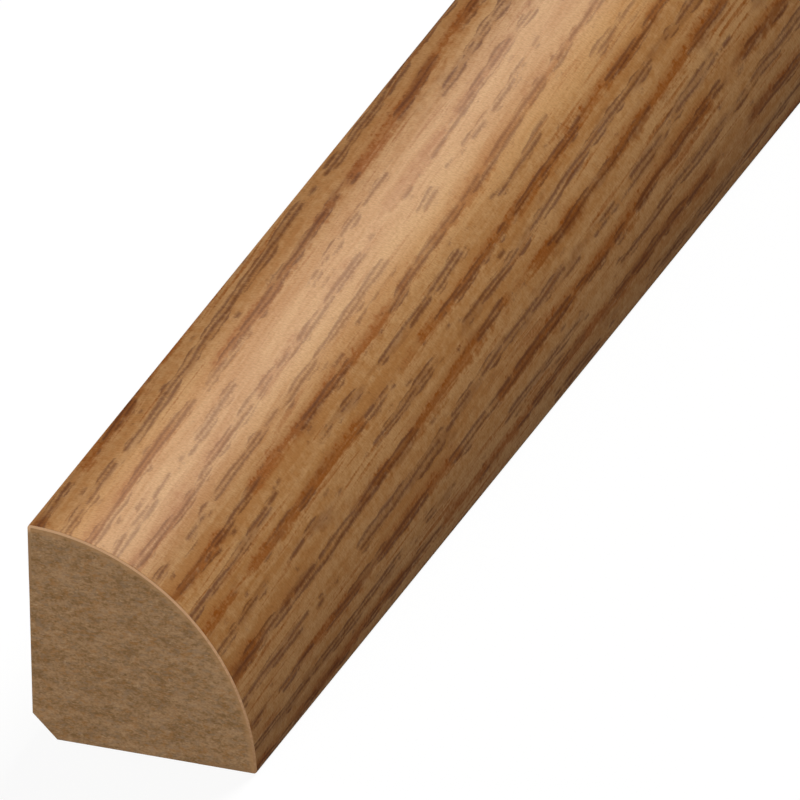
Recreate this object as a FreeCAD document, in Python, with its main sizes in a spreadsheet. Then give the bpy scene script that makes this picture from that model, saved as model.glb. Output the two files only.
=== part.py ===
"""Foil-wrapped quarter round moulding, the trim that closes the gap between a floor and a skirting board.

A fibreboard stick with a quarter-circle section carries a printed decor foil. The foil covers the
round face, turns round both arrises and ends a few millimetres onto the back and the bottom, where it
is let in flush. Sizes are in millimetres. X runs from the back face to the toe, Y along the stock and
Z up from the floor. The origin is in the middle of the stock's bottom.
"""

import FreeCAD
import Part
import math
import os
import Sketcher

DIMENSIONS = {
    "face_radius": 19.05,  # the round face, and so the width and the height: nominal 3/4 inch
    "stock_length": 2387.6,  # sold as 94 inch lengths
    "foil_thickness": 0.25,  # the decor foil with its glue
    "floor_lap": 5.0,  # how far the foil turns onto the bottom, from the toe
    "back_lap": 5.0,  # how far the foil turns onto the back, from the top
    "arris_radius": 0.05,  # the core's eased arrises at the toe and the top, under the foil
    "corner_chamfer": 2.05,  # each leg of the chamfer that clears the corner of floor and wall
}

START, END, CENTRE = range(1, 4)  # the numbers of a line's or arc's points in a sketch
VERTICAL_AXIS, HORIZONTAL_AXIS = range(-2, 0)  # the numbers of a sketch's own axes
SECTION_NORMAL = FreeCAD.Vector(0, 0, 1)


def make_sheet(doc):
    """Put each driving dimension in a cell of its own, under its name."""
    sheet = doc.addObject("Spreadsheet::Sheet", "dimensions")
    for row, (name, value) in enumerate(DIMENSIONS.items(), start=1):
        sheet.set(f"A{row}", name)
        sheet.set(f"B{row}", str(value))
        sheet.setAlias(f"B{row}", name)
    doc.recompute()
    return sheet


def line(x1, y1, x2, y2):
    return Part.LineSegment(FreeCAD.Vector(x1, y1, 0), FreeCAD.Vector(x2, y2, 0))


def arc(x, y, radius, first_angle, last_angle):
    circle = Part.Circle(FreeCAD.Vector(x, y, 0), SECTION_NORMAL, radius)
    return Part.ArcOfCircle(circle, first_angle, last_angle)


class Section:
    """A sketch of a cross-section, in the body's XZ plane, whose pieces are known by name."""

    def __init__(self, body, name):
        self.sketch = body.newObject("Sketcher::SketchObject", name)
        plane = next(p for p in body.Origin.OriginFeatures if p.Role == "XZ_Plane")
        self.sketch.AttachmentSupport = [(plane, "")]
        self.sketch.MapMode = "FlatFace"
        self.number = {}

    def draw(self, pieces):
        for name, geometry in pieces.items():
            self.number[name] = self.sketch.addGeometry(geometry, False)

    def constrain(self, kind, *places):
        """Add a constraint with no size. A piece is given by its name, a point or an axis by its number."""
        numbers = [self.number.get(place, place) for place in places]
        self.sketch.addConstraint(Sketcher.Constraint(kind, *numbers))

    def size(self, label, formula, kind, *places):
        """Add a constraint whose size is worked out from the sheet."""
        numbers = [self.number.get(place, place) for place in places]
        value = self.sketch.evalExpression(formula)
        constraint = self.sketch.addConstraint(Sketcher.Constraint(kind, *numbers, value))
        self.sketch.renameConstraint(constraint, label)
        self.sketch.setExpression(f"Constraints.{label}", formula)

    def join(self, *ends):
        """Join neighbours end to end. Where an arc meets its neighbour they run on smoothly."""
        for first, first_end, second, second_end in ends:
            smooth = "arc" in first or "arc" in second
            self.constrain("Tangent" if smooth else "Coincident", first, first_end, second, second_end)


def arris_place(sheet):
    """Return how far the arris arcs' centres lie from the two flats, near and far, and the angle to them."""
    near = sheet.foil_thickness + sheet.arris_radius
    far = math.sqrt((sheet.face_radius - near) ** 2 - near**2)
    return near, far, math.atan2(near, far)


def draw_core(section, sheet):
    """Draw the fibreboard's section: the quarter round, less the foil and the chamfered corner."""
    foil = sheet.foil_thickness
    floor_lap_end = sheet.face_radius - sheet.floor_lap
    back_lap_end = sheet.face_radius - sheet.back_lap
    chamfer = sheet.corner_chamfer
    near, far, angle = arris_place(sheet)
    section.draw({
        "floor_line": line(chamfer, 0, floor_lap_end, 0),
        "floor_step": line(floor_lap_end, 0, floor_lap_end, foil),
        "floor_rebate": line(floor_lap_end, foil, far, foil),
        "toe_arc": arc(far, near, sheet.arris_radius, -math.pi / 2, angle),
        "face_arc": arc(0, 0, sheet.face_radius - foil, angle, math.pi / 2 - angle),
        "top_arc": arc(near, far, sheet.arris_radius, math.pi / 2 - angle, math.pi),
        "back_rebate": line(foil, far, foil, back_lap_end),
        "back_step": line(foil, back_lap_end, 0, back_lap_end),
        "back_line": line(0, back_lap_end, 0, chamfer),
        "corner_line": line(0, chamfer, chamfer, 0),
    })
    section.join(
        ("floor_line", END, "floor_step", START),
        ("floor_step", END, "floor_rebate", START),
        ("floor_rebate", END, "toe_arc", START),
        ("toe_arc", END, "face_arc", START),
        ("face_arc", END, "top_arc", START),
        ("top_arc", END, "back_rebate", START),
        ("back_rebate", END, "back_step", START),
        ("back_step", END, "back_line", START),
        ("back_line", END, "corner_line", START),
        ("corner_line", END, "floor_line", START),
    )
    for name in ("floor_line", "floor_rebate", "back_step"):
        section.constrain("Horizontal", name)
    for name in ("floor_step", "back_rebate", "back_line"):
        section.constrain("Vertical", name)
    section.constrain("Coincident", "face_arc", CENTRE, HORIZONTAL_AXIS, START)
    section.constrain("PointOnObject", "floor_line", START, HORIZONTAL_AXIS)
    section.constrain("PointOnObject", "back_line", START, VERTICAL_AXIS)
    section.size("face", "dimensions.face_radius - dimensions.foil_thickness", "Radius", "face_arc")
    section.size("toe_arris", "dimensions.arris_radius", "Radius", "toe_arc")
    section.size("top_arris", "dimensions.arris_radius", "Radius", "top_arc")
    section.size("floor_depth", "dimensions.foil_thickness", "DistanceY",
                 "floor_step", START, "floor_step", END)
    section.size("back_depth", "dimensions.foil_thickness", "DistanceX",
                 "back_step", END, "back_step", START)
    section.size("floor_bare", "dimensions.face_radius - dimensions.floor_lap", "DistanceX",
                 HORIZONTAL_AXIS, START, "floor_line", END)
    section.size("back_bare", "dimensions.face_radius - dimensions.back_lap", "DistanceY",
                 HORIZONTAL_AXIS, START, "back_line", START)
    section.size("floor_chamfer", "dimensions.corner_chamfer", "DistanceX",
                 HORIZONTAL_AXIS, START, "floor_line", START)
    section.size("back_chamfer", "dimensions.corner_chamfer", "DistanceY",
                 HORIZONTAL_AXIS, START, "back_line", END)


def draw_wrap(section, sheet):
    """Draw the foil's section: one thickness from the end of the bottom lap, over the face, to the back's."""
    foil = sheet.foil_thickness
    floor_lap_end = sheet.face_radius - sheet.floor_lap
    back_lap_end = sheet.face_radius - sheet.back_lap
    near, far, angle = arris_place(sheet)
    section.draw({
        "floor_outside": line(floor_lap_end, 0, far, 0),
        "toe_arc_outside": arc(far, near, near, -math.pi / 2, angle),
        "face_arc_outside": arc(0, 0, sheet.face_radius, angle, math.pi / 2 - angle),
        "top_arc_outside": arc(near, far, near, math.pi / 2 - angle, math.pi),
        "back_outside": line(0, far, 0, back_lap_end),
        "back_edge": line(0, back_lap_end, foil, back_lap_end),
        "back_inside": line(foil, back_lap_end, foil, far),
        "top_arc_inside": arc(near, far, sheet.arris_radius, math.pi / 2 - angle, math.pi),
        "face_arc_inside": arc(0, 0, sheet.face_radius - foil, angle, math.pi / 2 - angle),
        "toe_arc_inside": arc(far, near, sheet.arris_radius, -math.pi / 2, angle),
        "floor_inside": line(far, foil, floor_lap_end, foil),
        "floor_edge": line(floor_lap_end, foil, floor_lap_end, 0),
    })
    section.join(
        ("floor_outside", END, "toe_arc_outside", START),
        ("toe_arc_outside", END, "face_arc_outside", START),
        ("face_arc_outside", END, "top_arc_outside", START),
        ("top_arc_outside", END, "back_outside", START),
        ("back_outside", END, "back_edge", START),
        ("back_edge", END, "back_inside", START),
        ("back_inside", END, "top_arc_inside", END),
        ("top_arc_inside", START, "face_arc_inside", END),
        ("face_arc_inside", START, "toe_arc_inside", END),
        ("toe_arc_inside", START, "floor_inside", START),
        ("floor_inside", END, "floor_edge", START),
        ("floor_edge", END, "floor_outside", START),
    )
    for name in ("floor_outside", "floor_inside", "back_edge"):
        section.constrain("Horizontal", name)
    for name in ("back_outside", "back_inside", "floor_edge"):
        section.constrain("Vertical", name)
    section.constrain("Coincident", "face_arc_outside", CENTRE, HORIZONTAL_AXIS, START)
    section.constrain("Coincident", "face_arc_inside", CENTRE, HORIZONTAL_AXIS, START)
    section.constrain("PointOnObject", "floor_outside", START, HORIZONTAL_AXIS)
    section.constrain("PointOnObject", "back_outside", START, VERTICAL_AXIS)
    section.size("face_outside", "dimensions.face_radius", "Radius", "face_arc_outside")
    section.size("face_inside", "dimensions.face_radius - dimensions.foil_thickness", "Radius",
                 "face_arc_inside")
    for side in ("toe", "top"):
        section.size(f"{side}_outside", "dimensions.arris_radius + dimensions.foil_thickness", "Radius",
                     f"{side}_arc_outside")
        section.size(f"{side}_inside", "dimensions.arris_radius", "Radius", f"{side}_arc_inside")
    section.size("floor_thickness", "dimensions.foil_thickness", "DistanceY",
                 "floor_edge", END, "floor_edge", START)
    section.size("back_thickness", "dimensions.foil_thickness", "DistanceX",
                 "back_edge", START, "back_edge", END)
    section.size("floor_lap_end", "dimensions.face_radius - dimensions.floor_lap", "DistanceX",
                 HORIZONTAL_AXIS, START, "floor_outside", START)
    section.size("back_lap_end", "dimensions.face_radius - dimensions.back_lap", "DistanceY",
                 HORIZONTAL_AXIS, START, "back_outside", END)


def make_stock(doc, sheet, name, draw_section):
    """Run a section along the stock, half to each side of the origin, with its width centred on it."""
    body = doc.addObject("PartDesign::Body", name)
    body.Label = name
    section = Section(body, f"{name}_section")
    draw_section(section, sheet)
    doc.recompute()
    stock = body.newObject("PartDesign::Pad", f"{name}_length")
    stock.Profile = section.sketch
    stock.SideType = "Symmetric"
    stock.setExpression("Length", "dimensions.stock_length")
    body.setExpression("Placement.Base.x", "-dimensions.face_radius / 2")
    return body


def check(doc, bodies):
    """Stop if an object failed to build, a section isn't fully tied to the sheet, or a solid isn't sound."""
    for thing in doc.Objects:
        if "Invalid" in thing.State or "Error" in thing.State:
            raise RuntimeError(f"{thing.Label} failed to build")
        if thing.TypeId == "Sketcher::SketchObject" and not thing.FullyConstrained:
            raise RuntimeError(f"{thing.Label} is not fully constrained")
    for body in bodies:
        if body.Shape.isNull() or not body.Shape.isValid() or len(body.Shape.Solids) != 1:
            raise RuntimeError(f"{body.Label} is not one sound solid")


def main():
    doc = FreeCAD.newDocument("quarter_round")
    sheet = make_sheet(doc)
    bodies = [
        make_stock(doc, sheet, "fibreboard_core", draw_core),
        make_stock(doc, sheet, "decor_wrap", draw_wrap),
    ]
    doc.recompute()
    check(doc, bodies)
    os.makedirs("parts", exist_ok=True)
    for body in bodies:
        body.Shape.exportStep(f"parts/{body.Label}.step")
        box = body.Shape.BoundBox
        print(f"{body.Label}: {body.Shape.Volume:.1f} mm3, X {box.XMin:.3f} to {box.XMax:.3f},"
              f" Y {box.YMin:.1f} to {box.YMax:.1f}, Z {box.ZMin:.3f} to {box.ZMax:.3f}")


main()
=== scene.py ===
"""Looks of a foil-wrapped quarter round moulding.

Two pieces are swept from one section: the fibreboard core, and the printed oak foil bonded over its round
face. X runs from the back face to the toe, Y along the stock and Z up from the floor. Places are in metres,
and the sizes of the print and of the fibres, inside their finishes, are in millimetres.
"""

import math

import bmesh
import bpy
from mathutils import Matrix, Vector


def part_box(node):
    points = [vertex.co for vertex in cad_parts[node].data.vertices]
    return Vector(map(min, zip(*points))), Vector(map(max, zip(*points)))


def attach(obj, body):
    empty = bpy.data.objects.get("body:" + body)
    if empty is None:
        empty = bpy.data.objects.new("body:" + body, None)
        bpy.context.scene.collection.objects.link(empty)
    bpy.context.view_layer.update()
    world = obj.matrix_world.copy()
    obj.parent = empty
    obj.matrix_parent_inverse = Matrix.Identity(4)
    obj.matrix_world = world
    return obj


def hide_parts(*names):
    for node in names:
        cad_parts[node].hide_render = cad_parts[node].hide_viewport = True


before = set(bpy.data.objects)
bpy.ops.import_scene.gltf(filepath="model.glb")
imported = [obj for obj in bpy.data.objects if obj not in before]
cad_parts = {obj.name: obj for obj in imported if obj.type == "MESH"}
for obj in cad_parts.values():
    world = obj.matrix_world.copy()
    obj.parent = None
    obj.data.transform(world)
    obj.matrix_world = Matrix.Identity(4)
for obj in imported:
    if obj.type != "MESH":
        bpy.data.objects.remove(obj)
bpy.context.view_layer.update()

MM = 0.001

# The stock, as the frame has it
wrap_low, wrap_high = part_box("decor_wrap")
core_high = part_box("fibreboard_core")[1]
BACK_FACE = wrap_low.x
FLOOR_FACE = wrap_low.z
NEAR_END = wrap_low.y
FAR_END = wrap_high.y
STOCK_LENGTH = FAR_END - NEAR_END
FOIL = wrap_high.z - core_high.z

# The section, measured from the back face and the floor face
CORE_ARRIS = 0.05 * MM  # radius of the core's edges under the foil
FOIL_BEND = FOIL + CORE_ARRIS  # outer radius of the foil where it turns round them
BEND_REACH = wrap_high.z - FLOOR_FACE - FOIL_BEND  # from either flat to the far bend's centre
FACE_RADIUS = FOIL_BEND + math.hypot(BEND_REACH, FOIL_BEND)
FOIL_LAP = 5.0 * MM  # how far the foil turns onto the back and onto the floor face
LAP_END = FACE_RADIUS - FOIL_LAP
CORNER_CHAMFER = 2.05 * MM
FOIL_EASE = 0.01 * MM  # the saw turns the foil's printed side in by this at the ends
CORE_EASE = 0.03 * MM  # and takes this off the core's edges
END_HOLD = 0.08 * MM  # past this from an end the faces run straight
FACE_STEPS = 72
BEND_STEPS = 8

# The maps: the decor map lays the print in millimetres, and the bake map folds each strip into rows
DECOR_MAP = "decor"
BAKE_MAP = "OFBake"
ROWS = 4
SPANS_A_ROW = 6
ROW_GAP = 0.004
MAP_EDGE = 0.004

# The photograph's view, from straight lines of the stock's outline
PICTURE_SIDE = 800
PIXELS_A_MM = 12.667
CORNER_PIXEL = (33.1, 735.5)  # where the back and the floor face would meet at the near end
VIEW_AZIMUTH = math.radians(22.55)
VIEW_ELEVATION = math.radians(28.95)
VIEW_ROLL = math.radians(-1.57)
VIEW_DISTANCE = 1.0

PRINT, RAW_EDGE = range(2)  # the foil's finishes


def linear(red, green, blue):
    """Return a screen colour, 0 to 255, as the linear numbers that shaders take."""
    levels = [level / 255 for level in (red, green, blue)]
    return [v / 12.92 if v <= 0.04045 else ((v + 0.055) / 1.055) ** 2.4 for v in levels] + [1.0]


class Socket:
    """An output of a finish's nodes. Arithmetic on it adds Math nodes."""

    def __init__(self, finish, output):
        self.finish = finish
        self.output = output

    def __getitem__(self, name):
        """Return another output of the same node."""
        return Socket(self.finish, self.output.node.outputs[name])

    def __add__(self, other):
        return self.finish.math("ADD", self, other)

    def __radd__(self, other):
        return self.finish.math("ADD", other, self)

    def __sub__(self, other):
        return self.finish.math("SUBTRACT", self, other)

    def __rsub__(self, other):
        return self.finish.math("SUBTRACT", other, self)

    def __mul__(self, other):
        return self.finish.math("MULTIPLY", self, other)

    def __rmul__(self, other):
        return self.finish.math("MULTIPLY", other, self)

    def __truediv__(self, other):
        return self.finish.math("DIVIDE", self, other)


class Finish:
    """A material and the nodes that it is mixed from."""

    def __init__(self, name):
        self.material = bpy.data.materials.new(name)
        self.material.use_nodes = True
        self.tree = self.material.node_tree

    def feed(self, entry, value):
        """Link an input to a socket, or set it to a plain value."""
        if isinstance(value, Socket):
            self.tree.links.new(value.output, entry)
        else:
            entry.default_value = value

    def node(self, kind, settings, sockets):
        """Add a node: its settings first, then the values or links of its sockets."""
        made = self.tree.nodes.new(kind)
        for name, value in settings.items():
            setattr(made, name, value)
        for entry, value in sockets.items():
            self.feed(made.inputs[entry], value)
        return Socket(self, made.outputs[0])

    def shade(self, sockets):
        """Feed the surface shader that the material starts with."""
        for entry, value in sockets.items():
            self.feed(self.tree.nodes["Principled BSDF"].inputs[entry], value)

    def math(self, operation, *values):
        """Return what a Math node makes of the values."""
        return self.node("ShaderNodeMath", {"operation": operation}, dict(enumerate(values)))

    def step(self, value, low, high):
        """Return 0 up to low, 1 from high on, and a smooth step between."""
        return self.node("ShaderNodeMapRange", {"interpolation_type": "SMOOTHSTEP"},
                         {"Value": value, "From Min": low, "From Max": high})

    def place(self, x, y, z):
        """Return a place made of its three coordinates."""
        return self.node("ShaderNodeCombineXYZ", {}, {"X": x, "Y": y, "Z": z})

    def cloud(self, place, detail=2.0):
        """Return soft noise about 0.5, whose spots are about one unit of place wide."""
        return self.node("ShaderNodeTexNoise", {}, {"Vector": place, "Scale": 1.0, "Detail": detail})

    def blend(self, share, first, second, mode="MIX"):
        """Mix two colours. A Mix node takes them at its sockets 6 and 7, and gives its colour at 2."""
        settings = {"data_type": "RGBA", "blend_type": mode, "clamp_factor": True}
        mix = self.node("ShaderNodeMix", settings, {0: share, 6: first, 7: second})
        return mix[2]


def swing(noise, reach):
    """Return noise as a swing to both sides of zero."""
    return (noise - 0.5) * reach


class OakPrint(Finish):
    """Printed oak: a tan ground, and growth rings with a burnt streak and about two rows of pores in each.

    Lengths are in millimetres. across runs down the face from its top, and along runs from the near end.
    """

    ring_width = 4.05
    lean = 0.034  # how far the grain crosses the face in each millimetre along
    burn_place = 1.25  # of the burnt streak, from the start of its ring
    row_start = -0.7  # of the first row of pores, from the burnt streak
    row_pitch = 2.0
    rows_counted = 3  # rows that a ring may hold, cut ones too
    pore_pitch = 0.45  # between the fine lines that pores lie on
    highlight_middle = 6.7  # of the band of painted highlight, at the near end
    highlight_reach = 4.46  # to each side, where it fades out
    line_stride = 7.31  # through the noise, so that neighbouring lines have nothing in common

    def __init__(self, name):
        super().__init__(name)
        spot = self.node("ShaderNodeSeparateXYZ", {}, {
            "Vector": self.node("ShaderNodeUVMap", {"uv_map": DECOR_MAP}, {}),
        })
        self.across = spot["X"]
        self.along = spot["Y"]

        # The grain, which leans across the face, bends slowly and wavers
        bend = swing(self.streaks(self.across, width=14.0, length=200.0, seed=3.1, detail=1.0), 3.5)
        waver = swing(self.streaks(self.across, width=2.4, length=14.0, seed=8.4), 0.6)
        self.grain = self.across + self.along * self.lean + bend + waver
        self.ring = self.math("FLOOR", self.grain / self.ring_width)
        in_ring = self.grain - self.ring * self.ring_width
        burn_sway = swing(self.along_line(self.ring, length=30.0, seed=4.4), 1.2)
        self.below_burn = in_ring - self.burn_place + burn_sway

        # A band of painted highlight, and painted shade along the top edge and towards the toe, which drift
        # over the face along the stock
        drift = swing(self.cloud(self.place(0.0, self.along / 600.0, 0.0), detail=0.0), 8.0)
        wave = self.math("COSINE", (self.across - self.highlight_middle) / self.highlight_reach + drift)
        # a paler band painted where the highlight falls at the near end, a painted highlight; off it the
        # colour is darkened as painted shade
        self.painted_highlight = self.step(wave, 0.38, 1.0)
        self.off_highlight = 1 - self.painted_highlight
        # painted shade along the top edge of the face
        self.top_edge_shade = 1 - self.step(self.across + drift, -1.0, 4.4)
        # painted shade, growing towards the toe
        self.toe_shade = self.step(self.across + drift, 12.0, 22.0)

        # Noise that several layers of the print share
        self.fibre = self.streaks(self.grain, width=0.12, length=2.2, seed=1.7)
        self.strand = self.streaks(self.grain, width=0.35, length=11.0, seed=21.3)
        self.shading = self.streaks(self.grain, width=1.3, length=26.0, seed=6.6, detail=3.0)
        self.mottle = self.aslant((0.30, 1.1), (0.42, 1.3), seed=41.0)
        self.fleck = self.aslant((0.75, 2.8), (1.1, 2.6), seed=57.0)
        self.dust = self.aslant((0.34, 0.80), (0.17, 0.42), seed=30.0, push=self.mottle)

    def streaks(self, line, width, length, seed, detail=2.0):
        """Return noise drawn out along the grain."""
        return self.cloud(self.place(line / width, self.along / length, seed), detail)

    def along_line(self, number, length, seed, detail=1.0):
        """Return noise that is the same across one line of the grain, and goes its own way in the next."""
        return self.cloud(self.place(number * self.line_stride, self.along / length, seed), detail)

    def aslant(self, sizes_across, sizes_along, seed, push=0.0):
        """Return noise in small spots that lie askew to the grain. push moves them about."""
        wide, wide_slant = sizes_across
        long, long_slant = sizes_along
        u = self.across / wide + self.along / wide_slant + push
        v = self.along / long - self.across / long_slant
        return self.cloud(self.place(u, v, seed))

    def tan_ground(self):
        """Return the ground's colour, from deep to pale tan in soft streaks and patches."""
        tan_deep = linear(187, 132, 76)
        tan_pale = linear(209, 162, 108)
        patches = swing(self.mottle, 0.25) + swing(self.fleck, 0.6) * self.off_highlight
        tone = self.shading + swing(self.fibre, 0.2) + swing(self.strand, 0.4) + patches
        return self.blend(self.step(tone, 0.25, 0.75), tan_deep, tan_pale)

    def burnt_streaks(self):
        """Return the share of burnt brown: a ragged streak in each ring, and thin ones anywhere."""
        strength = self.along_line(self.ring, length=11.0, seed=5.1, detail=4.0)
        half = self.math("MINIMUM", (strength - 0.40) * 6.0, 0.5)
        side = self.below_burn + swing(self.mottle, 0.8) + swing(self.fleck, 1.2) + swing(self.strand, 1.4)
        top_edge = self.step(side + half, -0.5, 0.45)
        low_edge = 1 - self.step(side - half * 0.7, -0.3, 0.35)
        thin = self.step(self.strand * 0.6 + self.shading * 0.4 + swing(self.mottle, 0.15), 0.54, 0.67)
        burn = self.math("MAXIMUM", top_edge * low_edge, thin * 0.85)
        return burn * (0.5 + self.off_highlight * 0.5) * (0.85 + swing(self.mottle, 0.7) + swing(self.fleck, 0.8))

    def pores(self):
        """Return the share of pores: dashes on fine lines, gathered in rows, and a faint veil about them."""
        line = self.grain / self.pore_pitch
        line_number = self.math("FLOOR", line)
        line_sway = swing(self.along_line(line_number, length=6.0, seed=15.2), 1.0)
        off_line = self.math("ABSOLUTE", line - line_number - 0.5 + line_sway)
        off_line = off_line + swing(self.mottle, 0.6) + swing(self.dust, 0.4)

        row = (self.below_burn - self.row_start) / self.row_pitch
        row_in_ring = self.math("FLOOR", row)
        row_number = row_in_ring + self.ring * self.rows_counted
        row_sway = swing(self.along_line(row_number, length=22.0, seed=51.0), 1.2)
        in_row = (row - row_in_ring) * self.row_pitch + row_sway
        full_row = self.step(in_row, 0.1, 0.5) * (1 - self.step(in_row, 0.9, 1.5))
        stretch = self.step(self.along_line(row_number, length=16.0, seed=19.7, detail=2.0), 0.37, 0.53)
        gathered = full_row * stretch

        dash = self.along_line(line_number, length=2.8, seed=9.3) + gathered * 0.38 + swing(self.mottle, 0.3)
        half = self.along_line(line_number, length=9.0, seed=27.1) * 0.5 + 0.10
        dashes = self.step(dash, 0.655, 0.795) * (1 - self.step(off_line, half - 0.48, half + 0.40))
        haze = self.streaks(self.grain, width=1.0, length=5.0, seed=33.5) + gathered * 0.25
        veil = self.step(haze, 0.58, 0.85) * self.off_highlight
        ragged = 1.0 + swing(self.dust, 0.7) + swing(self.fibre, 0.4)
        return self.math("MAXIMUM", dashes, veil * 0.40) * ragged * (1 - self.painted_highlight * 0.35)


def oak_print():
    """Return the printed oak of the foil's outside, under a thin satin lacquer."""
    burnt = linear(162, 93, 34)
    pore_shade = (0.44, 0.37, 0.46, 1.0)
    # painted shade: darkens the colour off the highlight band, along the top edge and towards the toe
    painted_shade = (0.69, 0.65, 0.63, 1.0)
    dust_shade = (0.81, 0.79, 0.76, 1.0)
    lacquer = 0.09

    oak = OakPrint("oak_decor_print")
    pores = oak.pores()
    colour = oak.blend(oak.burnt_streaks() * (1 - pores * 0.35), oak.tan_ground(), burnt)
    for share, shade in (
        (pores, pore_shade),
        # painted shade off the painted highlight band, deeper towards the toe
        (oak.off_highlight * (0.7 + oak.toe_shade * 0.3), painted_shade),
        # painted shade along the top edge
        (oak.top_edge_shade * 0.95, painted_shade),
        (1 - oak.step(oak.dust, 0.25, 0.70), dust_shade),
    ):
        colour = oak.blend(share, colour, shade, "MULTIPLY")
    relief = oak.fibre * 0.35 + oak.dust * 0.4 - pores
    bump = oak.node("ShaderNodeBump", {}, {"Strength": 0.25, "Distance": 0.03 * MM, "Height": relief})
    oak.shade({
        "Base Color": colour,
        "Roughness": 0.55,
        "Specular IOR Level": 0.0,
        "Coat Weight": lacquer * (0.8 + swing(oak.dust, 1.0)) * (1 - pores * 0.5),
        "Coat Roughness": 0.33,
        "Coat IOR": 1.5,
        "Normal": bump,
    })
    return oak.material


def stock_spot(finish):
    """Return a spot's place on the stock, in millimetres: across it, along it and up from the floor."""
    place = finish.node("ShaderNodeTexCoord", {}, {})["Object"]
    spot = finish.node("ShaderNodeSeparateXYZ", {}, {"Vector": place})
    return spot["X"] / MM, spot["Y"] / MM, spot["Z"] / MM


def from_face_axis(finish, x, z):
    """Return how far a spot lies from the axis of the round face, in millimetres."""
    from_back = x - BACK_FACE / MM
    return finish.math("SQRT", from_back * from_back + z * z)


def foil_raw_edge():
    """Return the foil's own paper, sawn through: lighter towards the top as a painted highlight, darker
    towards the floor as painted shade, and browned by glue on the laps.
    """
    paper_lit = linear(213, 169, 128)
    paper_shaded = linear(160, 121, 85)
    glue_brown = linear(147, 114, 80)
    dust_size = 0.25
    face = FACE_RADIUS / MM

    paper = Finish("foil_raw_edge")
    x, y, z = stock_spot(paper)
    # the noise below only roughens the boundary between the painted highlight and the painted shade
    dust = paper.cloud(paper.place(x / dust_size, y / dust_size, z / dust_size))
    # painted highlight towards the top of the sawn edge and painted shade towards the floor
    lit_share = paper.step(z + swing(dust, 16.0), -2.0, 17.0)
    colour = paper.blend(lit_share, paper_shaded, paper_lit)
    on_lap = 1 - paper.step(from_face_axis(paper, x, z), face - 0.9, face - 0.25)
    colour = paper.blend(on_lap * 0.9, colour, glue_brown)
    paper.shade({"Base Color": colour, "Roughness": 0.85, "Specular IOR Level": 0.05})
    return paper.material


def bare_fibreboard():
    """Return sawn fibreboard: felted fibres in several browns, and a glue-soaked rim under the foil."""
    brown_deep = linear(129, 98, 64)
    brown_pale = linear(174, 138, 101)
    grey_fibre = linear(142, 119, 95)
    warm_fibre = linear(160, 113, 66)
    dark_fibre = linear(104, 77, 48)
    pale_fibre = linear(196, 164, 128)
    glue_soaked = linear(176, 134, 92)
    rim = (FACE_RADIUS - FOIL) / MM
    soak_depth = 0.6

    board = Finish("bare_fibreboard")
    x, y, z = stock_spot(board)

    def felt(length, thickness, seed, detail=2.0):
        """Return noise that lies in flat flakes."""
        return board.cloud(board.place(x / length + seed, y / length, z / thickness), detail)

    clumps = felt(2.6, 1.2, seed=3.0)
    bundles = felt(0.62, 0.30, seed=11.0, detail=3.0)
    fibres = felt(0.24, 0.15, seed=91.0)
    tone = board.step(clumps * 0.25 + bundles * 0.4 + fibres * 0.35, 0.35, 0.65)
    grey = board.step(felt(0.6, 0.28, seed=51.0, detail=3.0), 0.48, 0.70)
    warm = board.step(felt(0.6, 0.28, seed=67.0, detail=3.0), 0.50, 0.72)
    dark = board.step(felt(0.34, 0.18, seed=23.0, detail=1.0), 0.64, 0.82)
    pale = board.step(felt(0.42, 0.15, seed=37.0, detail=1.0), 0.65, 0.82)
    soaked = board.step(from_face_axis(board, x, z) + swing(bundles, 0.6), rim - soak_depth, rim)
    colour = board.blend(tone, brown_deep, brown_pale)
    for share, fibre in (
        (grey * 0.55, grey_fibre),
        (warm * 0.55, warm_fibre),
        (dark * 0.5, dark_fibre),
        (pale * 0.5, pale_fibre),
        (soaked * 0.65, glue_soaked),
    ):
        colour = board.blend(share, colour, fibre)
    bump = board.node("ShaderNodeBump", {}, {
        "Strength": 0.35, "Distance": 0.06 * MM, "Height": bundles + fibres * 0.5,
    })
    board.shade({"Base Color": colour, "Roughness": 0.95, "Specular IOR Level": 0.0, "Normal": bump})
    return board.material


def section_arc(centre, radius, first, last, steps):
    """Return points along an arc of the section, each with the direction out of the arc."""
    turns = [first + (last - first) * i / steps for i in range(steps + 1)]
    ways = [Vector((math.cos(turn), math.sin(turn))) for turn in turns]
    return [(centre + way * radius, way) for way in ways]


def foil_line():
    """Return the foil's outside, from its edge on the back, over the face, to its edge on the floor face."""
    start = math.atan2(FOIL_BEND, BEND_REACH)  # of the face's arc, after the bend at the floor
    top_bend = Vector((FOIL_BEND, BEND_REACH))
    toe_bend = Vector((BEND_REACH, FOIL_BEND))
    line = [(Vector((0, LAP_END)), Vector((-1, 0)))]
    line += section_arc(top_bend, FOIL_BEND, math.pi, math.pi / 2 - start, BEND_STEPS)
    line += section_arc(Vector((0, 0)), FACE_RADIUS, math.pi / 2 - start, start, FACE_STEPS)[1:]
    line += section_arc(toe_bend, FOIL_BEND, start, -math.pi / 2, BEND_STEPS)[1:]
    line.append((Vector((LAP_END, 0)), Vector((0, -1))))
    return line


def lengths_along(points):
    """Return how far along a line each of its points lies."""
    total = 0.0
    marks = [0.0]
    for before, after in zip(points, points[1:]):
        total += (after - before).length
        marks.append(total)
    return marks


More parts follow.
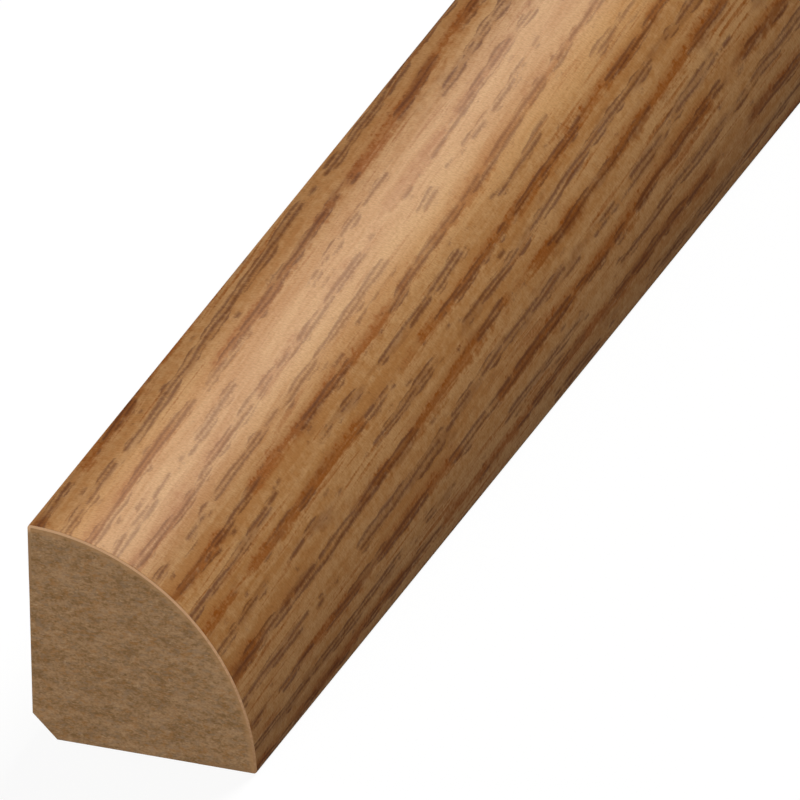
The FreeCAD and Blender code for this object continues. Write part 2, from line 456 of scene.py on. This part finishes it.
class Strip:
    """A band of the stock's surface, and its place on the bake map, folded into rows."""

    def __init__(self, low, high, width):
        self.low = low
        self.row_height = (high - low) / ROWS
        self.width = width

    def bake_places(self, spots):
        """Return where a face's corners lie on the bake map. The middle of the face settles its row."""
        rows_along = [along / STOCK_LENGTH * ROWS for _, along in spots]
        row = math.floor(sum(rows_along) / len(spots))
        foot = self.low + row * self.row_height + ROW_GAP
        height = self.row_height - 2 * ROW_GAP
        places = []
        for (across, _), row_along in zip(spots, rows_along):
            u = MAP_EDGE + (row_along - row) * (1 - 2 * MAP_EDGE)
            places.append((u, foot + across / self.width * height))
        return places


def stock_stops(ease):
    """Return where the stock is divided along its length: its eased ends and even spans between."""
    spans = ROWS * SPANS_A_ROW
    stops = [NEAR_END + STOCK_LENGTH * i / spans for i in range(spans + 1)]
    near = [NEAR_END, NEAR_END + ease, NEAR_END + END_HOLD]
    far = [FAR_END - END_HOLD, FAR_END - ease, FAR_END]
    return near + stops[1:-1] + far


class Stock:
    """A mesh that runs a closed section along the stock."""

    def __init__(self, outline, end_outline, ease):
        self.mesh = bmesh.new()
        self.stops = stock_stops(ease)
        self.decor = self.mesh.loops.layers.uv.new(DECOR_MAP)
        self.bake = self.mesh.loops.layers.uv.new(BAKE_MAP)
        self.rings = []
        for y in self.stops:
            line = end_outline if y in (NEAR_END, FAR_END) else outline
            self.rings.append([self.mesh.verts.new((BACK_FACE + x, y, FLOOR_FACE + z)) for x, z in line])

    def face(self, corners, decor_places, bake_places, finish=0, smooth=False):
        """Add a face with its places on both maps."""
        made = self.mesh.faces.new(corners)
        made.material_index = finish
        made.smooth = smooth
        for loop, decor_place, bake_place in zip(made.loops, decor_places, bake_places):
            loop[self.decor].uv = decor_place
            loop[self.bake].uv = bake_place

    def band(self, strip, columns, marks, decor_start=0.0, finish=0, smooth=False):
        """Add faces from end to end between neighbouring points of the section, numbered by columns.

        marks say how far across the strip each point lies, and the decor map is measured from decor_start.
        """
        sides = list(zip(columns, marks))
        last_span = len(self.stops) - 2
        for span in range(last_span + 1):
            straight = 0 < span < last_span
            for first, second in zip(sides, sides[1:]):
                corners = []
                spots = []
                for (column, mark), stop in (
                    (first, span), (second, span), (second, span + 1), (first, span + 1),
                ):
                    corners.append(self.rings[stop][column])
                    spots.append((mark, self.stops[stop] - NEAR_END))
                decor_places = [((mark - decor_start) / MM, along / MM) for mark, along in spots]
                self.face(corners, decor_places, strip.bake_places(spots), finish, smooth and straight)

    def finished(self, name, finishes):
        """Return the piece, with its faces turned outwards."""
        bmesh.ops.recalc_face_normals(self.mesh, faces=self.mesh.faces)
        data = bpy.data.meshes.new(name)
        self.mesh.to_mesh(data)
        self.mesh.free()
        for finish in finishes:
            data.materials.append(finish)
        piece = bpy.data.objects.new(name, data)
        bpy.context.scene.collection.objects.link(piece)
        return piece


def make_wrap():
    """Return the decor foil: a thin sheet over the face, turned round both arrises."""
    print_top, glued_top, floor_edge_top, map_top = 0.93, 0.965, 0.9825, 1.0  # heights on the bake map
    line = foil_line()
    outside = [point for point, _ in line]
    inside = [point - way * FOIL for point, way in line]
    eased = [point - way * FOIL_EASE for point, way in line]
    count = len(line)
    last = 2 * count - 1
    stock = Stock(outside + inside[::-1], eased + inside[::-1], FOIL_EASE)
    marks = lengths_along(outside)
    width = marks[-1]
    face_top = marks[1]  # the print is measured from here

    print_strip = Strip(0.0, print_top, width)
    stock.band(print_strip, range(1, count - 1), marks[1:-1], face_top, PRINT, smooth=True)
    stock.band(print_strip, [0, 1], marks[:2], face_top, PRINT)
    stock.band(print_strip, [count - 2, count - 1], marks[-2:], face_top, PRINT)
    glued_strip = Strip(print_top, glued_top, width)
    stock.band(glued_strip, range(count, last + 1), marks, finish=RAW_EDGE, smooth=True)
    floor_edge = Strip(glued_top, floor_edge_top, FOIL)
    stock.band(floor_edge, [count - 1, count], [0.0, FOIL], finish=RAW_EDGE)
    back_edge = Strip(floor_edge_top, map_top, FOIL)
    stock.band(back_edge, [last, 0], [0.0, FOIL], finish=RAW_EDGE)
    close_wrap_ends(stock, marks)
    return stock.finished("oak_foil", [oak_print(), foil_raw_edge()])


def close_wrap_ends(stock, marks):
    """Add the foil's sawn ends, a ribbon of quads at each, in the space left at the bake map's sides."""
    ribbon = 0.002  # its width on the bake map
    last = 2 * len(marks) - 1
    for ring, left in ((stock.rings[0], 0.0), (stock.rings[-1], 1 - ribbon)):
        right = left + ribbon
        for i in range(len(marks) - 1):
            corners = [ring[column] for column in (i, i + 1, last - i - 1, last - i)]
            low = marks[i] / marks[-1]
            high = marks[i + 1] / marks[-1]
            bake_places = [(left, low), (left, high), (right, high), (right, low)]
            stock.face(corners, [(0, 0)] * len(corners), bake_places, RAW_EDGE)


def make_core():
    """Return the fibreboard stick that the foil is bonded to."""
    bare_top, glued_top, floor_step_top, back_step_top = 0.60, 0.66, 0.68, 0.70  # heights on the bake map
    slide = CORE_EASE * math.tan(math.pi / 8)  # of the chamfer's corners where the ends are eased
    glued = [point - way * FOIL for point, way in foil_line()]
    bare = [
        Vector((LAP_END, 0)),
        Vector((CORNER_CHAMFER, 0)),
        Vector((0, CORNER_CHAMFER)),
        Vector((0, LAP_END)),
    ]
    eased = [
        Vector((LAP_END, CORE_EASE)),
        Vector((CORNER_CHAMFER + slide, CORE_EASE)),
        Vector((CORE_EASE, CORNER_CHAMFER + slide)),
        Vector((CORE_EASE, LAP_END)),
    ]
    count = len(glued)
    last = count + len(bare) - 1
    stock = Stock(glued + bare, glued + eased, CORE_EASE)
    bare_marks = lengths_along(bare)
    glued_marks = lengths_along(glued)
    stock.band(Strip(0.0, bare_top, bare_marks[-1]), range(count, last + 1), bare_marks)
    stock.band(Strip(bare_top, glued_top, glued_marks[-1]), range(count), glued_marks)
    stock.band(Strip(glued_top, floor_step_top, FOIL), [count - 1, count], [0.0, FOIL])
    stock.band(Strip(floor_step_top, back_step_top, FOIL), [last, 0], [0.0, FOIL])
    close_core_ends(stock)
    return stock.finished("fibreboard_stick", [bare_fibreboard()])


def close_core_ends(stock):
    """Add the sawn ends, side by side above the strips on the bake map."""
    near_left, far_left, foot, side = 0.05, 0.55, 0.705, 0.29  # on the bake map
    scale = side / FACE_RADIUS
    for ring, left in ((stock.rings[0], near_left), (stock.rings[-1], far_left)):
        bake_places = [
            (left + (corner.co.x - BACK_FACE) * scale, foot + (corner.co.z - FLOOR_FACE) * scale)
            for corner in ring
        ]
        stock.face(ring, [(0, 0)] * len(ring), bake_places)


def add_pieces():
    """Put both pieces in the scene, in place of the frame's plain ones."""
    for piece, node, slot in (
        (make_wrap(), "decor_wrap", "oak_decor_foil"),
        (make_core(), "fibreboard_core", "fibreboard"),
    ):
        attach(piece, "root")
        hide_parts(node)


def add_floor():
    """Lay a pale floor that shows white, takes the stock's faint shadow and throws back little light."""
    reach = 15.0
    clearance = 0.01 * MM  # under the stock, so that the two faces don't share a place
    shadow_share = 0.08
    plain_white = (1, 1, 1, 1)
    mid_grey = (0.18, 0.18, 0.18, 1)
    data = bpy.data.meshes.new("floor")
    corners = [(-reach, -reach, 0), (reach, -reach, 0), (reach, reach, 0), (-reach, reach, 0)]
    data.from_pydata(corners, [], [(0, 1, 2, 3)])
    floor = bpy.data.objects.new("floor", data)
    floor.location.z = FLOOR_FACE - clearance
    bpy.context.scene.collection.objects.link(floor)
    paint = Finish("pale_floor")
    ray = paint.node("ShaderNodeLightPath", {}, {})
    shown = ray["Is Camera Ray"] + ray["Is Glossy Ray"] + ray["Is Transmission Ray"]
    white = paint.node("ShaderNodeEmission", {}, {"Color": plain_white, "Strength": 1.0})
    lit = paint.node("ShaderNodeBsdfDiffuse", {}, {"Color": plain_white})
    dim = paint.node("ShaderNodeBsdfDiffuse", {}, {"Color": mid_grey})
    pale = paint.node("ShaderNodeMixShader", {}, {0: shadow_share, 1: white, 2: lit})
    surface = paint.node("ShaderNodeMixShader", {}, {0: shown, 1: dim, 2: pale})
    paint.feed(paint.tree.nodes["Material Output"].inputs["Surface"], surface)
    data.materials.append(paint.material)


def add_sun(name, way, strength, spread):
    """Add a broad lamp that lights the whole length alike. way points from the stock to the lamp."""
    lamp = bpy.data.lights.new(name, "SUN")
    lamp.energy = strength
    lamp.angle = math.radians(spread)
    sun = bpy.data.objects.new(name, lamp)
    sun.rotation_mode = "QUATERNION"
    sun.rotation_quaternion = Vector(way).to_track_quat("Z", "Y")
    bpy.context.scene.collection.objects.link(sun)


def add_light():
    """Light the face from behind, the sawn end from the front, and the back and the toe from their sides."""
    room_strength = 0.14
    add_sun("back_light", way=(0.091, 0.808, 0.582), strength=3.95, spread=22)
    add_sun("front_light", way=(0.0, -0.98, 0.2), strength=2.05, spread=40)
    add_sun("left_light", way=(-0.99, 0.1, 0.1), strength=2.0, spread=40)
    add_sun("right_light", way=(0.85, -0.45, 0.25), strength=0.1, spread=40)
    world = bpy.data.worlds.new("room")
    bpy.context.scene.world = world
    world.use_nodes = True
    room = world.node_tree.nodes["Background"].inputs
    room["Color"].default_value = (1, 1, 1, 1)
    room["Strength"].default_value = room_strength


def add_camera():
    """Set the camera at the photograph's view, which shows lengths alike at any distance."""
    azimuth, elevation, roll = VIEW_AZIMUTH, VIEW_ELEVATION, VIEW_ROLL
    level = Vector((math.cos(azimuth), math.sin(azimuth), 0))
    back = Vector((
        math.sin(azimuth) * math.cos(elevation),
        -math.cos(azimuth) * math.cos(elevation),
        math.sin(elevation),
    ))
    steep = back.cross(level)
    right = level * math.cos(roll) + steep * math.sin(roll)
    up = steep * math.cos(roll) - level * math.sin(roll)
    pixel = MM / PIXELS_A_MM
    middle = PICTURE_SIDE / 2
    corner = Vector((BACK_FACE, NEAR_END, FLOOR_FACE))
    place = corner + right * (middle - CORNER_PIXEL[0]) * pixel + up * (CORNER_PIXEL[1] - middle) * pixel
    lens = bpy.data.cameras.new("photo_view")
    lens.type = "ORTHO"
    lens.ortho_scale = PICTURE_SIDE * pixel
    camera = bpy.data.objects.new("photo_view", lens)
    turn = Matrix((right, up, back)).transposed()
    camera.matrix_world = Matrix.Translation(place + back * VIEW_DISTANCE) @ turn.to_4x4()
    bpy.context.scene.collection.objects.link(camera)
    bpy.context.scene.camera = camera


add_pieces()
add_floor()
add_light()
add_camera()
bpy.context.scene.view_settings.view_transform = "Standard"
